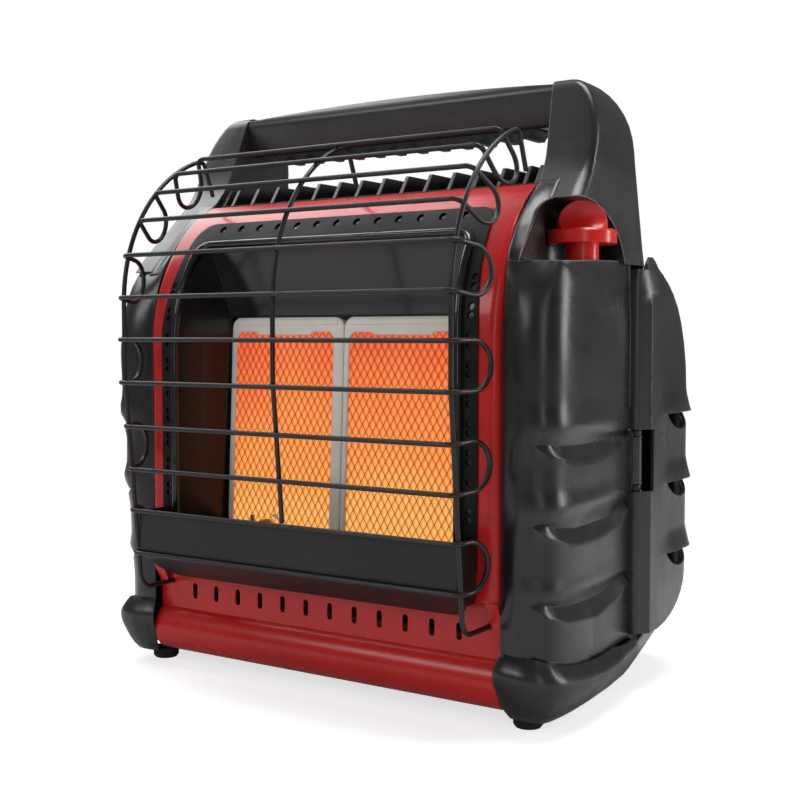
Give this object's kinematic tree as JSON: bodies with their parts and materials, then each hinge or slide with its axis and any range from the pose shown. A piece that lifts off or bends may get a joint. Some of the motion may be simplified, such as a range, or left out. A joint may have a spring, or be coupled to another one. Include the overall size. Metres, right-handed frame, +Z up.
{
  "type": "portable propane heater",
  "caption": "Portable radiant propane heater: red steel front with glowing tiles, curved wire guard, black moulded sides, top carry handle and swing-out regulator doors.",
  "frame": {"origin": "centre of the heater's bounding box on the floor plane, under the feet", "axes": "+Z up, -Y out of the glowing front, +X towards the control knob (the viewer's right)"},
  "size_m": [0.401, 0.2967, 0.439],
  "materials": {
    "black_plastic": "satin moulded",
    "red_enamel": "gloss",
    "black_enamel": "satin",
    "black_wire": "satin",
    "rubber": "matt",
    "plated_steel": "dull plated",
    "ceramic": "matt ceramic",
    "brass": "machined",
    "red_plastic": "gloss"
  },
  "bodies": {
    "housing": {"right_side_panel": "black_plastic", "left_side_panel": "black_plastic", "right_tower": "black_plastic", "left_tower": "black_plastic", "handle": "black_plastic", "handle_grip": "black_plastic", "front_panel": "red_enamel", "window_bezel": "black_enamel", "reflector": "black_enamel", "lower_shield": "black_enamel", "bottom_pan": "black_enamel", "rear_panel": "black_plastic", "top_grille": "black_enamel", "rubber_feet": "rubber", "heat_shield": "plated_steel", "right_bay_liner": "black_enamel", "left_bay_liner": "black_enamel", "guard_rungs": "black_wire", "guard_uprights": "black_wire", "right_burner_box": "plated_steel", "left_burner_box": "plated_steel", "right_tile": "ceramic", "left_tile": "ceramic", "right_tile_frame": "plated_steel", "left_tile_frame": "plated_steel", "right_burner_screen": "black_wire", "left_burner_screen": "black_wire", "mixer_tubes": "plated_steel", "gas_jets": "brass", "gas_manifold": "plated_steel", "supply_pipe": "plated_steel", "gas_valve": "brass", "igniter": "ceramic", "pilot_bracket": "plated_steel", "pilot_burner": "brass", "spark_electrode": "ceramic", "thermocouple": "plated_steel", "tip_switch": "black_plastic", "fan_shroud": "black_plastic", "fan_motor": "plated_steel", "fan_guard": "black_enamel", "battery_box": "black_plastic", "right_hinge_bracket": "black_plastic", "left_hinge_bracket": "black_plastic", "hinge_pins": "plated_steel", "fan_switch_body": "black_plastic", "rear_screws": "plated_steel"},
    "valve": {"valve_stem": "plated_steel"},
    "knob": {"control_knob": "red_plastic"},
    "right_pod": {"right_door": "black_plastic", "right_regulator": "plated_steel", "right_inlet": "brass"},
    "left_pod": {"left_door": "black_plastic", "left_regulator": "plated_steel", "left_inlet": "brass"},
    "rotor": {"fan_rotor": "black_plastic"},
    "battery_lid": {"battery_door": "black_plastic"},
    "fan_dial": {"fan_switch_knob": "black_plastic"}
  },
  "joints": [
    {"name": "valve_press", "type": "slide", "parent": "housing", "child": "valve", "axis": [0, 0, -1], "range_m": [0, 0.004], "stiffness_N_per_m": 1200, "springref_m": -0.002},
    {"name": "knob_turn", "type": "hinge", "parent": "valve", "child": "knob", "pos_m": [0.173, -0.02415, 0.32], "axis": [0, 0, 1], "range_deg": [0, 225]},
    {"name": "pod_right_swing", "type": "hinge", "parent": "housing", "child": "right_pod", "pos_m": [0.1865, 0.04025, 0.17], "axis": [0, 0, -1], "range_deg": [0, 90]},
    {"name": "pod_left_swing", "type": "hinge", "parent": "housing", "child": "left_pod", "pos_m": [-0.1865, 0.04025, 0.17], "axis": [0, 0, 1], "range_deg": [0, 90]},
    {"name": "fan_spin", "type": "hinge", "parent": "housing", "child": "rotor", "pos_m": [0, 0.11285, 0.17], "axis": [0, 1, 0], "continuous": true},
    {"name": "battery_door_open", "type": "hinge", "parent": "housing", "child": "battery_lid", "pos_m": [0, 0.14615, 0.0226], "axis": [-1, 0, 0], "range_deg": [0, 95]},
    {"name": "fan_switch_turn", "type": "hinge", "parent": "housing", "child": "fan_dial", "pos_m": [-0.17, 0.01385, 0.336], "axis": [-1, 0, 0], "range_deg": [0, 120]}
  ]
}
